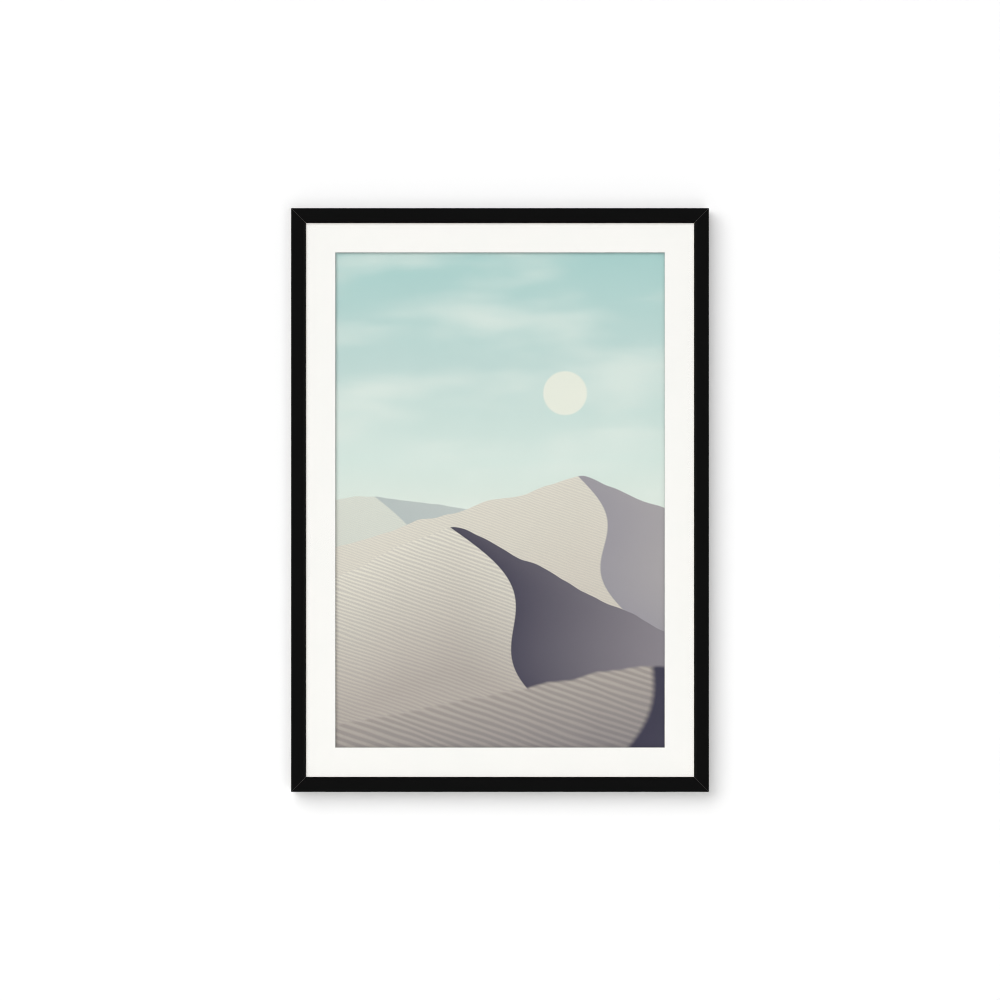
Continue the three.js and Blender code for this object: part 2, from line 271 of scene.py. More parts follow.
def mat_board(name, pale, deep, relief_depth):
    """Mat board: smooth, uncoated paper on a core of pulp, with a hardly visible cloud of fibres."""
    made, tree, place = new_material(name)
    cloud = add(tree, "TexNoise", {"Vector": place, "Scale": 1 / 5, "Detail": 6, "Roughness": 0.6})
    colour = add(tree, "Mix", {0: cloud, 6: linear(pale), 7: linear(deep)}, 2, data_type="RGBA")
    tooth = add(tree, "TexNoise", {"Vector": place, "Scale": 1 / 0.7, "Detail": 2})
    relief = add(tree, "Bump", {"Height": tooth, "Strength": 0.3, "Distance": relief_depth * MM})
    look = {"Base Color": colour, "Roughness": 0.92, "Normal": relief, "Specular IOR Level": 0.2}
    add(tree, "OutputMaterial", [add(tree, "BsdfPrincipled", look)])
    return made


def hardboard():
    """Pressed wood fibre, brown and matt, with darker bark flecks and pale loose fibres."""
    made, tree, place = new_material("pressed_hardboard")
    cloud = add(tree, "TexNoise", {"Vector": place, "Scale": 1 / 28, "Detail": 4})
    brown = add(tree, "ValToRGB", [cloud], stops=((0.3, "#7A624B"), (0.7, "#8E755B")))
    # Flecks are drawn about twice their real size, so that they show at arm's length
    flat = add(tree, "VectorMath", (place, (1 / 7, 1 / 2, 1 / 2.2)), operation="MULTIPLY")
    lying = add(tree, "TexNoise", {"Vector": flat, "Scale": 1, "Detail": 3})
    upright = add(tree, "VectorMath", (place, (1 / 2.2, 1 / 2, 1 / 7)), operation="MULTIPLY")
    standing = add(tree, "TexNoise", {"Vector": upright, "Scale": 1, "Detail": 3})
    dark = add(tree, "MapRange", (lying, 0.58, 0.7, 0, 0.55))
    flecked = add(tree, "Mix", {0: dark, 6: brown, 7: linear("#55432F")}, 2, data_type="RGBA")
    light = add(tree, "MapRange", (standing, 0.58, 0.72, 0, 0.5))
    colour = add(tree, "Mix", {0: light, 6: flecked, 7: linear("#AF977A")}, 2, data_type="RGBA")
    relief = add(tree, "Bump", {"Height": lying, "Strength": 0.4, "Distance": 0.1 * MM})
    look = {"Base Color": colour, "Roughness": 0.8, "Normal": relief, "Specular IOR Level": 0.3}
    add(tree, "OutputMaterial", [add(tree, "BsdfPrincipled", look)])
    return made


def zinc_plated_steel():
    """Stamped steel with a thin bright zinc coat: cool grey metal, clouded, with fine rubbed lines."""
    made, tree, place = new_material("zinc_plated_steel")
    cloud = add(tree, "TexNoise", {"Vector": place, "Scale": 1 / 4, "Detail": 4})
    tint = add(tree, "ValToRGB", [cloud], stops=((0.3, "#A3A6A8"), (0.7, "#C6C9CC")))
    drawn = add(tree, "VectorMath", (place, (1 / 9, 1 / 0.4, 1 / 0.4)), operation="MULTIPLY")
    line = add(tree, "TexNoise", {"Vector": drawn, "Scale": 1, "Detail": 2})
    blotch = add(tree, "Math", (line, 0.5, cloud), operation="MULTIPLY_ADD")
    rough = add(tree, "MapRange", (blotch, 0.5, 1, 0.26, 0.46))
    relief = add(tree, "Bump", {"Height": line, "Strength": 0.15, "Distance": 0.02 * MM})
    look = {"Base Color": tint, "Metallic": 1, "Roughness": rough, "Normal": relief}
    add(tree, "OutputMaterial", [add(tree, "BsdfPrincipled", look)])
    return made


def wool_felt():
    """Dense needled felt, near black, with a soft bloom from fibres that stand up."""
    made, tree, place = new_material("needled_wool_felt")
    tuft = add(tree, "TexNoise", {"Vector": place, "Scale": 1 / 0.6, "Detail": 4, "Roughness": 0.7})
    colour = add(tree, "ValToRGB", [tuft], stops=((0.3, "#1F1F21"), (0.7, "#3A3A3D")))
    relief = add(tree, "Bump", {"Height": tuft, "Strength": 0.8, "Distance": 0.2 * MM})
    look = {"Base Color": colour, "Roughness": 0.95, "Normal": relief, "Sheen Weight": 0.3}
    add(tree, "OutputMaterial", [add(tree, "BsdfPrincipled", look)])
    return made


# The printed picture: sand dunes under a hazy sky, in millimetres from the middle of the sheet


def sky(tree, across, up):
    """Teal overhead, pale towards the horizon, with wide soft cloud and a veiled sun."""
    height = add(tree, "MapRange", (up, -60, 300, 0, 1))
    hues = ((0, "#E4E9DE"), (0.3, "#D4E5DD"), (0.62, "#BFD8D3"), (1, "#A8CFCB"))
    clear_sky = add(tree, "ValToRGB", [height], stops=hues)
    wide = add(tree, "CombineXYZ", (across, 0, up))
    drawn_out = add(tree, "VectorMath", (wide, (1 / 230, 1, 1 / 62)), operation="MULTIPLY")
    bank = add(tree, "TexNoise", {"Vector": drawn_out, "Scale": 1, "Detail": 3, "Roughness": 0.45})
    cover = add(tree, "MapRange", (bank, 0.42, 0.72, 0, 0.75), interpolation_type="SMOOTHSTEP")
    clouded = add(tree, "Mix", {0: cover, 6: clear_sky, 7: linear("#E2ECE4")}, 2, data_type="RGBA")
    reach = add(tree, "VectorMath", (wide, (78, 0, 128)), operation="DISTANCE", out="Value")
    disc = add(tree, "MapRange", (reach, 25, 27.5, 0.75, 0), interpolation_type="SMOOTHSTEP")
    sunlit = add(tree, "Mix", {0: disc, 6: clouded, 7: linear("#F0EFDF")}, 2, data_type="RGBA")
    return sunlit


def dune(tree, behind, across, up, peak, slopes, ridge, lit, shade, pitch, soft):
    """Lays one dune over what is behind it.

    Its crest falls from the peak by one slope to the left and another to the right. A winding ridge runs
    down from the peak, with the lit flank on its left, rippled by wind, and the flank in shade on its right.
    """
    offset = add(tree, "Math", (across, peak[0]), operation="SUBTRACT")
    is_right = add(tree, "Math", (offset, 0), operation="GREATER_THAN")
    slope = add(tree, "Math", (is_right, slopes[1] - slopes[0], slopes[0]), operation="MULTIPLY_ADD")
    squared = add(tree, "Math", (offset, offset, 18**2), operation="MULTIPLY_ADD")
    rounded = add(tree, "Math", [squared], operation="SQRT")
    away = add(tree, "Math", (rounded, 18), operation="SUBTRACT")
    fall = add(tree, "Math", (slope, away), operation="MULTIPLY")
    sway = {"W": add(tree, "Math", (across, 1 / 70, peak[1]), operation="MULTIPLY_ADD"), "Scale": 1}
    wander = add(tree, "TexNoise", sway, noise_dimensions="1D")
    crest = add(tree, "Math", (wander, 14, peak[1] - 7), operation="MULTIPLY_ADD")
    crest = add(tree, "Math", (crest, fall), operation="SUBTRACT")
    below = add(tree, "Math", (crest, up), operation="SUBTRACT")

    # The ridge leans and winds more, the further it is below the peak
    lean, bend, wave = ridge
    down = add(tree, "Math", (peak[1], up), operation="SUBTRACT")
    turn = add(tree, "Math", [add(tree, "Math", (down, wave), operation="DIVIDE")], operation="SINE")
    winding = add(tree, "Math", (turn, bend), operation="MULTIPLY")
    spine = add(tree, "Math", (down, lean, winding), operation="MULTIPLY_ADD")
    beside = add(tree, "Math", (offset, spine), operation="SUBTRACT")
    in_shade = add(tree, "MapRange", (beside, -soft, soft, 0, 1), interpolation_type="SMOOTHSTEP")

    lit_depth = add(tree, "MapRange", (below, 0, 170, 0, 1))
    flank = add(tree, "ValToRGB", [lit_depth], stops=((0, lit[0]), (1, lit[1])))
    slanted = add(tree, "Math", (across, 0.35, up), operation="MULTIPLY_ADD")
    bands = add(tree, "CombineXYZ", (slanted, add(tree, "Math", (across, 0.3), operation="MULTIPLY"), 0))
    ripple_look = {"Vector": bands, "Scale": math.pi / (10 * pitch), "Distortion": 5, "Detail": 2}
    ripple = add(tree, "TexWave", {**ripple_look, "Detail Scale": 0.6}, out=1)
    groove = add(tree, "MapRange", (ripple, 0.2, 0.9, 0.3, 0))
    rippled = add(tree, "Mix", {0: groove, 6: flank, 7: linear(shade[1])}, 2, data_type="RGBA")

    shade_depth = add(tree, "MapRange", (beside, 0, 190, 0, 1))
    dark_flank = add(tree, "ValToRGB", [shade_depth], stops=((0, shade[0]), (1, shade[1])))
    sand = add(tree, "Mix", {0: in_shade, 6: rippled, 7: dark_flank}, 2, data_type="RGBA")
    cover = add(tree, "MapRange", (below, 0, soft, 0, 1), interpolation_type="SMOOTHSTEP")
    return add(tree, "Mix", {0: cover, 6: behind, 7: sand}, 2, data_type="RGBA")


def picture(tree, place):
    """A generic landscape of dunes, far ones hazy and near ones dark and sharp."""
    centred = add(tree, "VectorMath", (place, CENTRE), operation="SUBTRACT")
    parts = add(tree, "SeparateXYZ", [centred]).node
    across, up = parts.outputs["X"], parts.outputs["Z"]
    drawn = sky(tree, across, up)
    far = (("#D9DCD0", "#CFD2C8"), ("#B6BFBD", "#C4CBC6"))
    drawn = dune(tree, drawn, across, up, (-150, 4), (0.1, 0.14), (0.9, 8, 22), *far, 2.5, 1.6)
    middle = (("#DEDACC", "#CFC8BB"), ("#9A979D", "#B9B4B0"))
    drawn = dune(tree, drawn, across, up, (96, 26), (0.3, 0.42), (0.35, 16, 26), *middle, 3.2, 1.1)
    near = (("#E3DFD1", "#B7AFA5"), ("#4A4756", "#8A858B"))
    drawn = dune(tree, drawn, across, up, (-58, -34), (0.46, 0.52), (0.62, 30, 38), *near, 4.6, 0.8)
    front = (("#B3ABA2", "#6C6870"), ("#3C3A4C", "#55525F"))
    drawn = dune(tree, drawn, across, up, (182, -196), (0.2, 0.5), (-0.4, 20, 40), *front, 8, 5)
    speck = add(tree, "TexNoise", {"Vector": place, "Scale": 1 / 0.9, "Detail": 1})
    film = add(tree, "MapRange", (speck, 0.2, 0.8, 0.965, 1.035))
    return add(tree, "VectorMath", {0: drawn, "Scale": film}, operation="SCALE"), centred


def matt_photo_paper():
    """Matt coated photo paper, printed edge to edge of the picture and bare white round it."""
    made, tree, place = new_material("matt_photo_paper")
    ink, centred = picture(tree, place)
    sizes = add(tree, "VectorMath", [centred], operation="ABSOLUTE")
    half = (PICTURE_WIDTH / 2, 0, PICTURE_HEIGHT / 2)
    past = add(tree, "VectorMath", (sizes, half), operation="SUBTRACT")
    parts = add(tree, "SeparateXYZ", [past]).node
    outside = add(tree, "Math", (parts.outputs["X"], parts.outputs["Z"]), operation="MAXIMUM")
    is_bare = add(tree, "Math", (outside, 0), operation="GREATER_THAN")
    colour = add(tree, "Mix", {0: is_bare, 6: ink, 7: linear("#F4F3EF")}, 2, data_type="RGBA")
    tooth = add(tree, "TexNoise", {"Vector": place, "Scale": 1 / 0.8, "Detail": 2})
    rough = add(tree, "MapRange", (tooth, 0.3, 0.7, 0.52, 0.64))
    look = {"Base Color": colour, "Roughness": rough, "Specular IOR Level": 0.3}
    add(tree, "OutputMaterial", [add(tree, "BsdfPrincipled", look)])
    return made


def wall_paint():
    """Matt white wall paint with a roller's faint stipple. Seen from behind, the wall is left out."""
    made, tree, place = new_material("matt_wall_paint")
    stipple = add(tree, "TexNoise", {"Vector": place, "Scale": 1 / 4, "Detail": 3})
    relief = add(tree, "Bump", {"Height": stipple, "Strength": 0.05, "Distance": 0.1 * MM})
    look = {"Base Color": linear("#F1F1F1"), "Roughness": 0.95, "Normal": relief, "Specular IOR Level": 0.1}
    paint = add(tree, "BsdfPrincipled", look)
    is_behind = add(tree, "NewGeometry", out="Backfacing")
    unseen = add(tree, "BsdfTransparent")
    add(tree, "OutputMaterial", [add(tree, "MixShader", (is_behind, paint, unseen))])
    return made


def floor_paint():
    """Plain pale matt floor paint."""
    made, tree, place = new_material("pale_floor_paint")
    cloud = add(tree, "TexNoise", {"Vector": place, "Scale": 1 / 90, "Detail": 3})
    colour = add(tree, "ValToRGB", [cloud], stops=((0.3, "#E9E8E5"), (0.7, "#EFEEEB")))
    look = {"Base Color": colour, "Roughness": 0.85, "Specular IOR Level": 0.2}
    add(tree, "OutputMaterial", [add(tree, "BsdfPrincipled", look)])
    return made


# Modelling by hand


def near(one, other):
    return abs(one - other) < 0.002


def take(piece):
    """Selects one piece alone and makes it the active one."""
    bpy.ops.object.select_all(action="DESELECT")
    piece.select_set(True)
    bpy.context.view_layer.objects.active = piece


def settle(piece, name=None):
    """Puts a piece's place, turn and scale into its mesh."""
    take(piece)
    bpy.ops.object.transform_apply(location=True, rotation=True, scale=True)
    piece.name = name or piece.name
    piece.data.name = piece.name
    return piece


def block(name, low, high):
    """A box from its lowest to its highest corner, to start a piece from."""
    bpy.ops.object.select_all(action="DESELECT")
    low, high = Vector(low), Vector(high)
    bpy.ops.mesh.primitive_cube_add(size=1, location=(low + high) / 2, scale=high - low)
    return settle(bpy.context.object, name)


def rod(name, radius, front, back, corners):
    """A round rod along Y, to start a turned piece from."""
    bpy.ops.object.select_all(action="DESELECT")
    turn = (-math.pi / 2, 0, 0)
    middle = (0, (front + back) / 2, 0)
    bpy.ops.mesh.primitive_cylinder_add(
        vertices=corners, radius=radius, depth=back - front, location=middle, rotation=turn
    )
    return settle(bpy.context.object, name)


def open_mesh(piece):
    take(piece)
    bpy.ops.object.mode_set(mode="EDIT")
    bpy.ops.mesh.select_all(action="SELECT")


def close_mesh():
    bpy.ops.object.mode_set(mode="OBJECT")


def choose(kind, test):
    """Selects only those vertices, edges or faces of the open mesh that pass a test."""
    bpy.ops.mesh.select_mode(type=kind)
    bpy.ops.mesh.select_all(action="DESELECT")
    mesh = bmesh.from_edit_mesh(bpy.context.object.data)
    parts = {"VERT": mesh.verts, "EDGE": mesh.edges, "FACE": mesh.faces}[kind]
    for part in parts:
        if test(part):
            part.select_set(True)
    mesh.select_flush_mode()
    bmesh.update_edit_mesh(bpy.context.object.data)


def ends_at(edge, axis, place):
    """True if both ends of an edge lie at this place along an axis."""
    return all(near(corner.co[axis], place) for corner in edge.verts)


def in_front(edge):
    """True if both ends of an edge lie in front of the back of the lip."""
    return all(corner.co.y < LIP_BACK - 0.1 for corner in edge.verts)


def slice_at(place, normal, **settings):
    """Cuts the whole open mesh along a plane."""
    bpy.ops.mesh.select_all(action="SELECT")
    bpy.ops.mesh.bisect(plane_co=place, plane_no=normal, **settings)


def move(x=0, y=0, z=0):
    bpy.ops.transform.translate(value=(x, y, z))


def cut_away(piece, cutters):
    """Takes the cutters' shapes out of a piece."""
    for cutter in cutters:
        take(piece)
        tool = piece.modifiers.new("cut", "BOOLEAN")
        tool.operation = "DIFFERENCE"
        tool.solver = "EXACT"
        tool.object = cutter
        bpy.ops.object.modifier_apply(modifier=tool.name)
        bpy.data.objects.remove(cutter)


def ease_edges(piece, width, steps=2):
    """Rounds every sharp edge a little."""
    take(piece)
    tool = piece.modifiers.new("ease", "BEVEL")
    tool.width = width
    tool.segments = steps
    tool.limit_method = "ANGLE"
    tool.angle_limit = math.radians(40)
    bpy.ops.object.modifier_apply(modifier=tool.name)


def copy_of(piece, name):
    """A copy with a mesh of its own."""
    take(piece)
    bpy.ops.object.duplicate(linked=False)
    twin = bpy.context.object
    twin.name = name
    twin.data.name = name
    return twin


def shift(piece, x, z, turn=0):
    """Turns a piece about Y and moves it on the wall plane."""
    piece.rotation_euler = (0, math.radians(turn), 0)
    piece.location = (x, 0, z)
    return settle(piece)


def dress(piece, *materials):
    for material in materials:
        piece.data.materials.append(material)


def hand_over(piece, node, turn=0, smooth=32):
    """Brings a finished piece into the shared frame, attaches it to the root body and hides the CAD node that
    it stands for.

    Its eased edges are shaded round, while its broad faces stay flat.
    """
    piece.scale = (MM, MM, MM)
    piece.rotation_euler = (0, math.radians(turn), 0)
    piece.location = CENTRE * MM
    settle(piece)
    bpy.ops.object.shade_smooth_by_angle(angle=math.radians(smooth))
    flat = piece.modifiers.new("flat_faces", "WEIGHTED_NORMAL")
    flat.keep_sharp = True
    bpy.ops.object.modifier_apply(modifier=flat.name)
    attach(piece, "root")
    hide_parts(node)
    return piece


# Rails, with the nails and tabs that sit in them


def rail(name, length, reach, grain):
    """A rail along the top, with its outer edge `reach` above the frame's centre and mitred ends."""
    inner = reach - RAIL_WIDTH
    wall = reach - BACK_WIDTH
    piece = block(name, (-length / 2, RAIL_FRONT, inner), (length / 2, LIP_BACK, reach))
    dress(piece, satin_black_lacquer(grain), MITRE_GREY, raw_obeche(grain))
    open_mesh(piece)

    # The slab is split along the rabbet, and its outer part is drawn back behind the lip
    slice_at((0, 0, wall), (0, 0, 1))
    choose("FACE", lambda face: face.normal.y > 0.9 and face.calc_center_median().z > wall)
    depth = (0, RAIL_BACK - LIP_BACK, 0)
    bpy.ops.mesh.extrude_region_move(TRANSFORM_OT_translate={"value": depth})

    # A chamfer thins the lip towards its inner edge
    slice_at((0, 0, inner + SIGHT_CHAMFER), (0, 0, 1))
    choose("EDGE", lambda edge: ends_at(edge, 1, RAIL_FRONT) and ends_at(edge, 2, inner))
    move(y=LIP_DEPTH - SIGHT_EDGE)

    choose("EDGE", lambda edge: ends_at(edge, 2, reach) and edge.calc_length() > length / 2)
    bpy.ops.mesh.bevel(offset=ARRIS, segments=4, affect="EDGES")
    sight_lines = (inner, inner + SIGHT_CHAMFER)
    choose("EDGE", lambda edge: any(ends_at(edge, 2, line) for line in sight_lines) and in_front(edge))
    bpy.ops.mesh.bevel(offset=SIGHT_EASE, segments=3, affect="EDGES")

    def is_bare(face):
        in_rabbet = face.normal.z < -0.9 and face.calc_center_median().y > LIP_BACK
        return face.normal.y > 0.9 or in_rabbet

    choose("FACE", is_bare)
    piece.active_material_index = 2
    bpy.ops.object.material_slot_assign()

    for end in (-1, 1):
        corner = Vector((end * (length / 2 - MITRE_GAP), 0, reach))
        mitre = Vector((end, 0, -1)).normalized()
        slice_at(corner, mitre, use_fill=True, clear_outer=True)
        choose("EDGE", lambda edge: all(near((v.co - corner).dot(mitre), 0) for v in edge.verts))
        bpy.ops.mesh.bevel(offset=MITRE_EASE, segments=2, affect="EDGES", material=1)
    close_mesh()
    return piece


def nail_strip(name, room_round, front, back):
    """A V-shaped strip whose apex points down, as long as a corner nail."""
    half = NAIL_HALF_THICKNESS + room_round * math.sqrt(2)
    span = NAIL_HALF_SPAN + room_round
    rise = NAIL_RISE * span / NAIL_HALF_SPAN
    apex = -NAIL_RISE / 2
    piece = block(name, (-span, front, apex - half), (span, back, apex + half))
    open_mesh(piece)
    slice_at((0, 0, 0), (1, 0, 0))
    choose("VERT", lambda vert: abs(vert.co.x) > span / 2)
    move(z=rise)
    close_mesh()
    return piece


def at_corner(piece, length, reach, end):
    """Turns a piece to the mitre at one end of a top rail."""
    return shift(piece, end * (length / 2 - NAIL_INSET), reach - NAIL_INSET, 45 * end)


def slots(length, reach, tab_places):
    """Cutters for the slots that a rail's tabs and corner nails are driven into."""
    cutters = []
    for end in (-1, 1):
        strip = nail_strip("slot", SLOT_ROOM, RAIL_BACK - NAIL_LENGTH - 2 * NAIL_SUNK, RAIL_BACK + 1)
        cutters.append(at_corner(strip, length, reach, end))
    tab_front, tab_back = [corner.y for corner in room("tab_top_1")]
    wall = reach - BACK_WIDTH
    half = TAB_WIDTH / 2 + SLOT_ROOM
    for along in tab_places:
        low = (along - half, tab_front - SLOT_ROOM, wall - 1)
        high = (along + half, tab_back + SLOT_ROOM, wall + TAB_ROOT + SLOT_ROOM)
        cutters.append(block("slot", low, high))
    return cutters


def screw_holes():
    """Cutters for the screws of the hanger, in the top rail."""
    cutters = []
    for hand in ("left", "right"):
        low, high = room(f"hanger_screw_{hand}")
        hole = rod("hole", SCREW_HOLE_RADIUS, low.y - SLOT_ROOM, RAIL_BACK + 1, 24)
        cutters.append(shift(hole, (low.x + high.x) / 2, (low.z + high.z) / 2))
    return cutters


def rails():
    lengths = {"top": (2 * HALF_WIDTH, HALF_HEIGHT, "X"), "right": (2 * HALF_HEIGHT, HALF_WIDTH, "Z")}
    opposite = {"top": "bottom", "right": "left"}
    for side, (length, reach, grain) in lengths.items():
        piece = rail(f"lacquered_rail_{side}", length, reach, grain)
        cut_away(piece, slots(length, reach, TAB_PLACES[side]))
        twin = copy_of(piece, f"lacquered_rail_{opposite[side]}")
        if side == "top":
            cut_away(piece, screw_holes())
        hand_over(piece, f"rail_{side}", TURNS[side])
        hand_over(twin, f"rail_{opposite[side]}", TURNS[opposite[side]])


def side_size(side):
    """Length of a side, and how far its outer edge is from the frame's centre."""
    if side in ("top", "bottom"):
        return 2 * HALF_WIDTH, HALF_HEIGHT
    return 2 * HALF_HEIGHT, HALF_WIDTH


def corner_nails():
    """V-shaped nails, sunk a little below the back of the rails."""
    back = RAIL_BACK - NAIL_SUNK
    model = nail_strip("v_nail", 0, back - NAIL_LENGTH, back)
    ease_edges(model, 0.12)
    dress(model, ZINC)
    for side, turn in TURNS.items():
        length, reach = side_size(side)
        nail = at_corner(copy_of(model, f"v_nail_{CORNERS[side]}"), length, reach, 1)
        hand_over(nail, f"corner_nail_{CORNERS[side]}", turn)
    bpy.data.objects.remove(model)


def tab_model():
    """A flat tab with a pointed root above Z = 0, and below it a round tip that is bent up a little."""
    front, back = [corner.y for corner in room("tab_top_1")]
    half = TAB_WIDTH / 2
    piece = block("turn_tab", (-half, front, -TAB_REACH), (half, back, TAB_ROOT))
    dress(piece, ZINC)
    open_mesh(piece)
    for place in (TAB_ROOT / 2, -TAB_REACH / 3, -TAB_REACH / 2, -TAB_REACH * 0.7):
        slice_at((0, 0, place), (0, 0, 1))
    choose("VERT", lambda vert: near(vert.co.z, TAB_ROOT))
    bpy.ops.transform.resize(value=(0.12, 1, 1), center_override=(0, 0, TAB_ROOT))
    choose("EDGE", lambda edge: ends_at(edge, 2, -TAB_REACH) and near(abs(edge.verts[0].co.x), half)
           and near(edge.verts[0].co.x, edge.verts[1].co.x))
    bpy.ops.mesh.bevel(offset=half * 0.96, segments=7, affect="EDGES")
    choose("VERT", lambda vert: vert.co.z < -TAB_REACH * 0.45)
    move(y=TAB_LIFT * 0.3)
    choose("VERT", lambda vert: vert.co.z < -TAB_REACH * 0.65)
    move(y=TAB_LIFT * 0.7)
    close_mesh()
    ease_edges(piece, 0.1)
    return piece


def tabs():
    model = tab_model()
    for side, turn in TURNS.items():
        reach = side_size(side)[1]
        for number, along in enumerate(TAB_PLACES[side], start=1):
            tab = shift(copy_of(model, f"turn_tab_{side}_{number}"), along, reach - BACK_WIDTH)
            hand_over(tab, f"tab_{side}_{number}", turn)
    bpy.data.objects.remove(model)


# The stack between lip and tabs


def mat():
    """A thick mat whose window widens towards the back, so that its front edge overhangs the print."""
    low, high = room("mat")
    piece = block("mat_board", low, high)
    dress(piece, MAT_FACE, MAT_CORE_AND_SHADE)
    margin = high.x - WINDOW_WIDTH / 2
    thickness = high.y - low.y
    open_mesh(piece)
    choose("FACE", lambda face: face.normal.y < -0.9)
    bpy.ops.mesh.inset(thickness=margin - PAINTED_SHADE_LINE)
    bpy.ops.mesh.inset(thickness=PAINTED_SHADE_LINE)
    choose("FACE", lambda face: face.normal.y > 0.9)
    bpy.ops.mesh.inset(thickness=margin - thickness)

    def is_window(face):
        return abs(face.normal.y) > 0.9 and face.calc_center_median().xz.length < 1

    choose("FACE", is_window)
    bpy.ops.mesh.bridge_edge_loops()
    inside = WINDOW_WIDTH / 2 + thickness + 1
    half_high = high.z - margin + thickness + 1

    # The cut bares the black core. A hair's breadth of the front round the window gets the same near black:
    # painted shade, standing for the shadow line along the window's edge
    def is_core_or_shade_line(face):
        middle = face.calc_center_median()
        return abs(middle.x) < inside and abs(middle.z) < half_high

    choose("FACE", is_core_or_shade_line)
    piece.active_material_index = 1
    bpy.ops.object.material_slot_assign()
    close_mesh()
    ease_edges(piece, MAT_EASE)
    hand_over(piece, "mat")


def paper_print():
    """The printed sheet, which stands a little forward in the middle of the window."""
    low, high = room("print")
    size = high - low
    bpy.ops.object.select_all(action="DESELECT")
    across, up = PAPER_CELLS
    upright = (math.pi / 2, 0, 0)
    bpy.ops.mesh.primitive_grid_add(
        x_subdivisions=across, y_subdivisions=up, size=1, location=(low + high) / 2, rotation=upright
    )
    piece = bpy.context.object
    piece.scale = (size.x, size.z, 1)
    settle(piece, "paper_print")
    dress(piece, matt_photo_paper())
    open_mesh(piece)
    choose("VERT", lambda vert: vert.co.xz.length < 6)
    bpy.ops.transform.translate(
        value=(0, -PAPER_BOW, 0),
        use_proportional_edit=True,
        proportional_edit_falloff="SMOOTH",
        proportional_size=WINDOW_WIDTH / 2 - 6,
    )
    close_mesh()
    wall = piece.modifiers.new("thickness", "SOLIDIFY")
    wall.thickness = size.y
    wall.offset = 0
    take(piece)
    bpy.ops.object.modifier_apply(modifier=wall.name)
    hand_over(piece, "print")


def backing_board():
    low, high = room("backing_board")
    piece = block("hardboard_back", low, high)
    dress(piece, hardboard())
    open_mesh(piece)
    choose("EDGE", lambda edge: near(edge.verts[0].co.x, edge.verts[1].co.x)
           and near(edge.verts[0].co.z, edge.verts[1].co.z))
    bpy.ops.mesh.bevel(offset=BOARD_CORNER, segments=4, affect="EDGES")
    close_mesh()
    ease_edges(piece, BOARD_EASE)
    hand_over(piece, "backing_board")


# What the frame hangs by


def hanger():
    """A stamped strip with holes at its ends and a raised middle, whose lower edge is cut into teeth."""
    low, high = room("hanger")
    seat = low.y + HANGER_THICKNESS
    foot = high.x - HANGER_END
    head = foot - HANGER_RAMP
    notch = low.z + TOOTH_DEPTH
    piece = block("sawtooth_hanger", (low.x, low.y, notch), (high.x, seat, high.z))
    dress(piece, ZINC)
    open_mesh(piece)
    # Round ends first, while the strip is still a plain bar
    choose("EDGE", lambda edge: near(edge.verts[0].co.x, edge.verts[1].co.x)
           and near(edge.verts[0].co.z, edge.verts[1].co.z))
    bpy.ops.mesh.bevel(offset=HANGER_CORNER, segments=5, affect="EDGES")
    steps = TOOTH_COUNT * 2
    teeth = [(step - TOOTH_COUNT) * TOOTH_PITCH / 2 for step in range(steps + 1)]
    for place in (-foot, *teeth, foot):
        slice_at((place, 0, 0), (1, 0, 0))
    choose("VERT", lambda vert: abs(vert.co.x) < (foot + head) / 2)
    move(y=HANGER_RAISE)
    tips = [place for index, place in enumerate(teeth) if index % 2]
    choose("VERT", lambda vert: near(vert.co.z, notch) and any(near(vert.co.x, tip) for tip in tips))
    move(z=-TOOTH_DEPTH)
    close_mesh()
    holes = []
    for hand in ("left", "right"):
        screw_low, screw_high = room(f"hanger_screw_{hand}")
        hole = rod("hole", SCREW_SHANK_RADIUS + 0.5, low.y - 1, seat + 1, 24)
        middle = (screw_low + screw_high) / 2
        holes.append(shift(hole, middle.x, middle.z))
    cut_away(piece, holes)
    ease_edges(piece, 0.14)
    hand_over(piece, "hanger")


def screw_model(seat):
    """A pan-head screw about the Y axis, with its point towards the front and a cross recess."""
    piece = rod("pan_head_screw", SCREW_HEAD_RADIUS, seat, seat + SCREW_HEAD_HEIGHT, 32)
    dress(piece, ZINC)
    open_mesh(piece)
    choose("FACE", lambda face: face.normal.y < -0.9)
    bpy.ops.mesh.inset(thickness=SCREW_HEAD_RADIUS - SCREW_SHANK_RADIUS)
    shank = (0, SCREW_POINT - SCREW_LENGTH, 0)
    bpy.ops.mesh.extrude_region_move(TRANSFORM_OT_translate={"value": shank})
    bpy.ops.mesh.extrude_region_move(TRANSFORM_OT_translate={"value": (0, -SCREW_POINT, 0)})
    bpy.ops.transform.resize(value=(0.1, 1, 0.1), center_override=(0, seat - SCREW_LENGTH, 0))
    choose("EDGE", lambda edge: ends_at(edge, 1, seat + SCREW_HEAD_HEIGHT))
    bpy.ops.mesh.bevel(offset=SCREW_DOME, segments=5, affect="EDGES")
    close_mesh()
    top = seat + SCREW_HEAD_HEIGHT
    sizes = ((RECESS_LENGTH / 2, RECESS_WIDTH / 2), (RECESS_WIDTH / 2, RECESS_LENGTH / 2))
    cross = [block("cross", (-x, top - RECESS_DEPTH, -z), (x, top + 1, z)) for x, z in sizes]
    cut_away(piece, cross)
    return piece


def screws():
    hands = {"left": 12, "right": 57}  # how far each was turned when it came tight
    seat = room("hanger_screw_left")[1].y - SCREW_HEAD_HEIGHT
    model = screw_model(seat)
    for hand, turn in hands.items():
        low, high = room(f"hanger_screw_{hand}")
        middle = (low + high) / 2
        screw = shift(copy_of(model, f"pan_head_screw_{hand}"), middle.x, middle.z, turn)
        hand_over(screw, f"hanger_screw_{hand}")
    bpy.data.objects.remove(model)


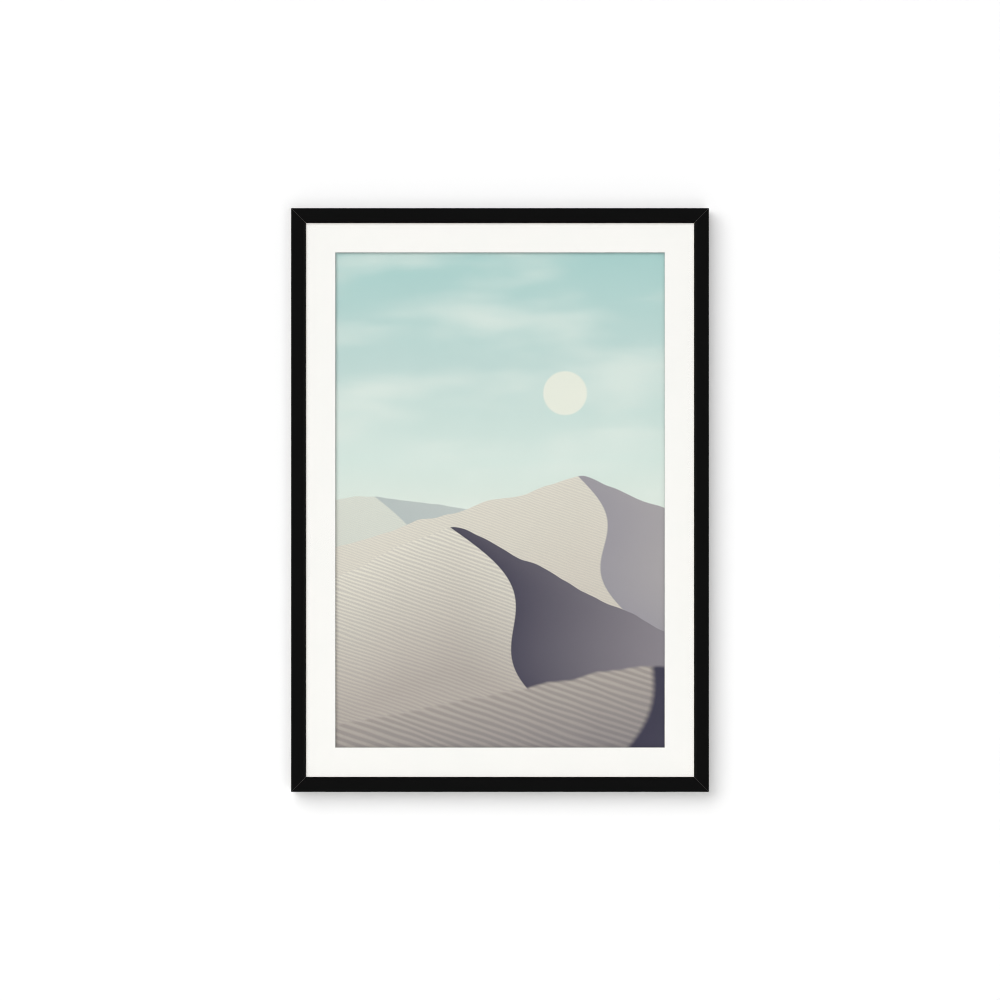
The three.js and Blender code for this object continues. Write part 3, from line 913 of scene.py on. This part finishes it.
def felt_pads():
    """Round felt pads, punched from a sheet, with a soft and slightly ragged edge."""
    for number, hand in enumerate(("left", "right")):
        low, high = room(f"bumper_{hand}")
        middle = (low + high) / 2
        pad = rod(f"felt_pad_{hand}", (high.x - low.x) / 2 - 0.1, low.y, high.y - 0.3, 40)
        dress(pad, wool_felt())
        open_mesh(pad)
        choose("EDGE", lambda edge: ends_at(edge, 1, high.y - 0.3))
        bpy.ops.mesh.bevel(offset=0.7, segments=4, affect="EDGES")
        choose("FACE", lambda face: face.normal.y > 0.9)
        for ring in (1.2, 1.2, 1):
            bpy.ops.mesh.inset(thickness=ring)
        choose("VERT", lambda vert: vert.co.y > low.y + 0.5)
        bpy.ops.transform.vertex_random(offset=0.08, seed=number + 3)
        close_mesh()
        shift(pad, middle.x, middle.z)
        hand_over(pad, f"bumper_{hand}", smooth=60)


# Stage, light and camera


def wall_and_floor():
    """A white wall that the frame hangs on, and a pale floor below."""
    sheets = {
        "wall": ((2.8, 3.1), (0, 0.0003, -0.35), (math.pi / 2, 0, 0), wall_paint()),
        "floor": ((2.8, 1.8), (0, -0.9, -1.9), (0, 0, 0), floor_paint()),
    }
    for name, (size, place, turn, paint) in sheets.items():
        bpy.ops.object.select_all(action="DESELECT")
        bpy.ops.mesh.primitive_plane_add(size=1, location=place, rotation=turn)
        sheet = bpy.context.object
        sheet.scale = (*size, 1)
        settle(sheet, name)
        dress(sheet, paint)
        sheet.visible_shadow = name == "floor"
        sheet.visible_glossy = False


def softbox(name, place, size, watts, facing=1, in_gloss=False, bounces=1024):
    """A soft light, parallel to the wall, that only shows by what it lights.

    Facing is 1 towards the front of the frame and -1 towards its back. As in copying pictures through
    polarisers, a panel that isn't in gloss doesn't mirror in the glazing or the lacquer.
    """
    bpy.ops.object.select_all(action="DESELECT")
    bpy.ops.object.light_add(type="AREA", location=place, rotation=(facing * math.pi / 2, 0, 0))
    lamp = bpy.context.object
    lamp.name = name
    lamp.data.shape = "RECTANGLE"
    lamp.data.size, lamp.data.size_y = size
    lamp.data.energy = watts
    lamp.data.cycles.max_bounces = bounces
    lamp.visible_camera = False
    lamp.visible_glossy = in_gloss
    lamp.visible_transmission = in_gloss


def studio_air():
    """A room with pale side walls and a dark front: it lights softly all round and shows pale in the view.

    In gloss it mirrors dimly in front and brighter from the sides, which gives the lacquer its sheen.
    """
    world = bpy.data.worlds.new("studio_air")
    world.use_nodes = True
    tree = world.node_tree
    tree.nodes.clear()
    path = add(tree, "LightPath").node
    around = add(tree, "Background", (linear("#FFFFFF"), 0.22))
    heading = add(tree, "SeparateXYZ", [add(tree, "TexCoord", out="Generated")])
    sideways = add(tree, "Math", [heading], operation="ABSOLUTE")
    glow = add(tree, "MapRange", (sideways, 0.7, 1, 0.1, 0.6), interpolation_type="SMOOTHSTEP")
    mirrored = add(tree, "Background", (linear("#FFFFFF"), glow))
    pale = add(tree, "Background", (linear("#FDFDFC"), 1))
    unseen = add(tree, "MixShader", (path.outputs["Is Glossy Ray"], around, mirrored))
    add(tree, "OutputWorld", [add(tree, "MixShader", (path.outputs["Is Camera Ray"], unseen, pale))])
    bpy.context.scene.world = world


def lights():
    """A wide panel up to the left, a smaller one down to the right, and one on the camera's axis.

    Far off, they light the whole wall evenly. The lamps behind light the frame's back and nothing else.
    """
    away = 24
    middle = CENTRE * MM
    panels = {
        "key": ((-1.4, -0.03), (0.06, 1.4), 11250),
        "fill": ((0.02, 0.6), (-0.75, -0.02), 1450),
        "front": ((-0.025, 0.025), (-0.025, 0.025), 1310),
    }
    for name, (across, up, watts) in panels.items():
        place = Vector((sum(across) / 2, -1, sum(up) / 2)) * away
        size = ((across[1] - across[0]) * away, (up[1] - up[0]) * away)
        softbox(name, middle + place, size, watts)

    # The rear panels overlap, so they stand at different distances
    rear_size = (4, 4)
    rear = {"back_key": ((-1.5, 2.5, 1.2), 155), "back_fill": ((1.8, 2.8, -0.5), 90)}
    for name, (place, watts) in rear.items():
        softbox(name, middle + Vector(place), rear_size, watts, facing=-1, in_gloss=True, bounces=0)


def camera():
    """Square to the frame's middle, as far off as the picture's width asks."""
    distance = VIEW_WIDTH * LENS / SENSOR
    place = (CENTRE + Vector((0, RAIL_FRONT - distance, 0))) * MM
    bpy.ops.object.select_all(action="DESELECT")
    bpy.ops.object.camera_add(location=place, rotation=(math.pi / 2, 0, 0))
    seen_by = bpy.context.object
    seen_by.name = "camera"
    seen_by.data.lens = LENS
    seen_by.data.sensor_width = SENSOR
    bpy.context.scene.camera = seen_by


bpy.ops.object.select_all(action="DESELECT")
MITRE_GREY = greyer_mitre_lacquer()
ZINC = zinc_plated_steel()
MAT_FACE = mat_board("mat_board_face", "#FAF9F5", "#F9F8F4", 0.02)
# Near black for the bared core of the cut, and for the painted shade line on the mat's front round the window
MAT_CORE_AND_SHADE = mat_board("black_mat_core_and_painted_shade", "#222223", "#2C2C2D", 0.06)

camera()
rails()
corner_nails()
tabs()
mat()
paper_print()
backing_board()
hanger()
screws()
felt_pads()
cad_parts["glazing"].data.materials.clear()
dress(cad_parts["glazing"], cast_acrylic())
wall_and_floor()
studio_air()
lights()

bpy.context.scene.view_settings.view_transform = "Standard"
bpy.context.scene.cycles.filter_width = 1
bpy.context.scene.cycles.caustics_reflective = False
bpy.context.scene.cycles.caustics_refractive = False
